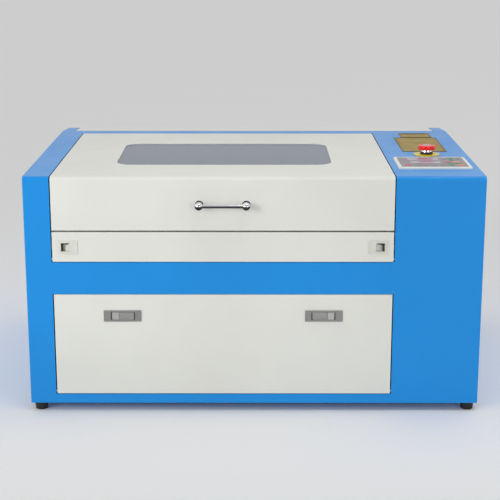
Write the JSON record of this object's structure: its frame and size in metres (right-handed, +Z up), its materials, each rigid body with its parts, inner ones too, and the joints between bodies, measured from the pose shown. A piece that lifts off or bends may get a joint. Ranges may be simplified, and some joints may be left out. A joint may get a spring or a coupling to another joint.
{
  "type": "desktop laser cutter",
  "caption": "Blue and cream cabinet laser engraver with hinged windowed lid, drop-down front flap and lower door, corner control deck, gantry, lift table and rear glass tube bay.",
  "frame": {"origin": "centre of the footprint on the plane the feet stand on", "axes": "+X to the operator's right along the width, -Y towards the operator, +Z up"},
  "size_m": [1, 0.812, 0.557],
  "materials": {
    "blue_paint": "satin powder coat",
    "cream_paint": "satin powder coat",
    "smoked_acrylic": "smoked clear acrylic",
    "chrome": "polished",
    "rubber": "matt",
    "bare_steel": "brushed",
    "galvanised": "zinc",
    "aluminium": "anodised",
    "zinc_cast": "satin zinc die casting",
    "cream_plastic": "moulded",
    "white_plastic": "moulded",
    "grey_overlay": "printed membrane",
    "gold_plate": "anodised gold plate",
    "yellow_plastic": "moulded",
    "red_plastic": "moulded",
    "black_plastic": "moulded",
    "tube_glass": "clear",
    "black_rubber_belt": "toothed belt",
    "brass": "turned",
    "black_anodised": "black anodised",
    "green_board": "boxed board"
  },
  "bodies": {
    "frame": {"front_top_shell": "blue_paint", "body_tub": "blue_paint", "rear_panel": "blue_paint", "chamber_divider": "galvanised", "rear_bulkhead": "galvanised", "feet": "rubber", "pivot_blocks": "bare_steel", "label_plates": "gold_plate", "keypad_bezel": "white_plastic", "keypad_membrane": "grey_overlay", "estop_plate": "yellow_plastic", "estop_body": "black_plastic", "power_module": "black_plastic", "exhaust_fan_housing": "black_plastic", "hose_fittings": "brass", "laser_tube": "tube_glass", "tube_mounts": "black_plastic", "mirror_1_mount": "aluminium", "y_rails": "aluminium", "y_belts": "black_rubber_belt", "stepper_motors": "black_anodised", "laser_power_supply": "galvanised", "low_voltage_supply": "galvanised", "control_unit": "green_board"},
    "lid": {"lid_shell": "cream_paint", "lid_window": "smoked_acrylic", "lid_handle": "chrome"},
    "strut_cylinder_left": {"strut_cylinder_left": "black_anodised"},
    "strut_cylinder_right": {"strut_cylinder_right": "black_anodised"},
    "strut_rod_left": {"strut_rod_left": "chrome"},
    "strut_rod_right": {"strut_rod_right": "chrome"},
    "flap": {"flap_panel": "cream_paint", "flap_latch_housings": "cream_plastic"},
    "flap_slider_left": {"flap_slider_left": "cream_plastic"},
    "flap_slider_right": {"flap_slider_right": "cream_plastic"},
    "door": {"door_panel": "cream_paint", "door_latch_housings": "zinc_cast"},
    "door_paddle_left": {"door_paddle_left": "zinc_cast"},
    "door_paddle_right": {"door_paddle_right": "zinc_cast"},
    "door_trigger_left": {"door_trigger_left": "zinc_cast"},
    "door_trigger_right": {"door_trigger_right": "zinc_cast"},
    "tube_cover": {"tube_cover": "cream_paint"},
    "estop_stem": {"estop_stem": "bare_steel"},
    "estop_cap": {"estop_cap": "red_plastic"},
    "gantry": {"x_gantry": "aluminium", "x_belt": "black_rubber_belt", "x_motor": "black_anodised", "mirror_2_mount": "aluminium"},
    "carriage": {"head_carriage": "black_anodised", "lens_tube": "brass"},
    "x_pulley": {"x_pulley": "aluminium"},
    "x_idler": {"x_idler": "aluminium"},
    "y_drive_shaft": {"y_drive_shaft": "bare_steel"},
    "y_idlers": {"y_idlers": "aluminium"},
    "table": {"table_frame": "aluminium", "honeycomb_bed": "aluminium"},
    "lift_screw_left": {"lift_screw_left": "bare_steel"},
    "lift_screw_right": {"lift_screw_right": "bare_steel"},
    "fan_rotor": {"fan_rotor": "black_plastic"},
    "power_rocker": {"power_rocker": "red_plastic"}
  },
  "joints": [
    {"name": "lid_hinge", "type": "hinge", "parent": "frame", "child": "lid", "pos_m": [-0.0685, 0.207, 0.5295], "axis": [-1, 0, 0], "range_deg": [0, 60]},
    {"name": "strut_pivot_left", "type": "hinge", "parent": "frame", "child": "strut_cylinder_left", "pos_m": [-0.4325, 0.202, 0.42722], "axis": [-1, 0, 0], "range_deg": [0, 30.5]},
    {"name": "strut_slide_left", "type": "slide", "parent": "strut_cylinder_left", "child": "strut_rod_left", "axis": [0, -0.7157, 0.6984], "range_m": [0, 0.0628]},
    {"name": "strut_pivot_right", "type": "hinge", "parent": "frame", "child": "strut_cylinder_right", "pos_m": [0.2955, 0.202, 0.42722], "axis": [-1, 0, 0], "range_deg": [0, 30.5]},
    {"name": "strut_slide_right", "type": "slide", "parent": "strut_cylinder_right", "child": "strut_rod_right", "axis": [0, -0.7157, 0.6984], "range_m": [0, 0.0628]},
    {"name": "flap_hinge", "type": "hinge", "parent": "frame", "child": "flap", "pos_m": [-0.0685, -0.371, 0.351], "axis": [1, 0, 0], "range_deg": [0, 90]},
    {"name": "flap_latch_left", "type": "slide", "parent": "flap", "child": "flap_slider_left", "axis": [1, 0, 0], "range_m": [0, 0.007], "stiffness_N_per_m": 300, "springref_m": -0.003},
    {"name": "flap_latch_right", "type": "slide", "parent": "flap", "child": "flap_slider_right", "axis": [-1, 0, 0], "range_m": [0, 0.007], "stiffness_N_per_m": 300, "springref_m": -0.003},
    {"name": "door_hinge", "type": "hinge", "parent": "frame", "child": "door", "pos_m": [-0.0685, -0.371, 0.0465], "axis": [1, 0, 0], "range_deg": [0, 90]},
    {"name": "door_paddle_left", "type": "hinge", "parent": "door", "child": "door_paddle_left", "pos_m": [-0.267, -0.3728, 0.2225], "axis": [0, 0, 1], "range_deg": [0, 35]},
    {"name": "door_trigger_left", "type": "slide", "parent": "door", "child": "door_trigger_left", "axis": [0, 1, 0], "range_m": [0, 0.002], "stiffness_N_per_m": 600, "springref_m": -0.002},
    {"name": "door_paddle_right", "type": "hinge", "parent": "door", "child": "door_paddle_right", "pos_m": [0.13, -0.3728, 0.2225], "axis": [0, 0, -1], "range_deg": [0, 35]},
    {"name": "door_trigger_right", "type": "slide", "parent": "door", "child": "door_trigger_right", "axis": [0, 1, 0], "range_m": [0, 0.002], "stiffness_N_per_m": 600, "springref_m": -0.002},
    {"name": "tube_cover_hinge", "type": "hinge", "parent": "frame", "child": "tube_cover", "pos_m": [0, 0.27057, 0.52771], "axis": [1, 0, 0], "range_deg": [0, 85]},
    {"name": "estop_press", "type": "slide", "parent": "frame", "child": "estop_stem", "axis": [0, 0, -1], "range_m": [0, 0.004], "stiffness_N_per_m": 1500, "springref_m": -0.003},
    {"name": "estop_twist", "type": "hinge", "parent": "estop_stem", "child": "estop_cap", "pos_m": [0.405, -0.1, 0.547], "axis": [0, 0, -1], "range_deg": [0, 45], "stiffness_Nm_per_rad": 0.08},
    {"name": "gantry_travel", "type": "slide", "parent": "frame", "child": "gantry", "axis": [0, -1, 0], "range_m": [0, 0.35]},
    {"name": "carriage_travel", "type": "slide", "parent": "gantry", "child": "carriage", "axis": [-1, 0, 0], "range_m": [0, 0.5]},
    {"name": "x_pulley_spin", "type": "hinge", "parent": "gantry", "child": "x_pulley", "pos_m": [0.24, 0.1405, 0.421], "axis": [0, -1, 0], "continuous": true},
    {"name": "x_idler_spin", "type": "hinge", "parent": "gantry", "child": "x_idler", "pos_m": [-0.42, 0.1405, 0.421], "axis": [0, -1, 0], "continuous": true},
    {"name": "y_shaft_spin", "type": "hinge", "parent": "frame", "child": "y_drive_shaft", "pos_m": [0, 0.198, 0.409], "axis": [1, 0, 0], "continuous": true},
    {"name": "y_idler_spin", "type": "hinge", "parent": "frame", "child": "y_idlers", "pos_m": [0, -0.305, 0.409], "axis": [1, 0, 0], "continuous": true},
    {"name": "table_lift", "type": "slide", "parent": "frame", "child": "table", "axis": [0, 0, -1], "range_m": [0, 0.06]},
    {"name": "lift_screw_left", "type": "hinge", "parent": "frame", "child": "lift_screw_left", "pos_m": [-0.378, -0.091, 0.219], "axis": [0, 0, 1], "continuous": true},
    {"name": "lift_screw_right", "type": "hinge", "parent": "frame", "child": "lift_screw_right", "pos_m": [0.218, -0.091, 0.219], "axis": [0, 0, 1], "continuous": true},
    {"name": "fan_spin", "type": "hinge", "parent": "frame", "child": "fan_rotor", "pos_m": [-0.08, 0.356, 0.209], "axis": [0, 1, 0], "continuous": true},
    {"name": "power_switch", "type": "hinge", "parent": "frame", "child": "power_rocker", "pos_m": [0.493, 0.314, 0.135], "axis": [0, 1, 0], "range_deg": [0, 16]}
  ],
  "couplings": [
    {"joint": "strut_pivot_left", "follows": "lid_hinge", "ratio": 0.5},
    {"joint": "strut_pivot_right", "follows": "lid_hinge", "ratio": 0.5},
    {"joint": "strut_slide_left", "follows": "lid_hinge", "m_per_rad": 0.05965},
    {"joint": "strut_slide_right", "follows": "lid_hinge", "m_per_rad": 0.05965},
    {"joint": "x_pulley_spin", "follows": "carriage_travel", "rad_per_m": 112.36},
    {"joint": "x_idler_spin", "follows": "carriage_travel", "rad_per_m": 112.36},
    {"joint": "y_shaft_spin", "follows": "gantry_travel", "rad_per_m": 112.36},
    {"joint": "y_idler_spin", "follows": "gantry_travel", "rad_per_m": 112.36},
    {"joint": "lift_screw_left", "follows": "table_lift", "rad_per_m": 785.4},
    {"joint": "lift_screw_right", "follows": "table_lift", "rad_per_m": 785.4}
  ]
}
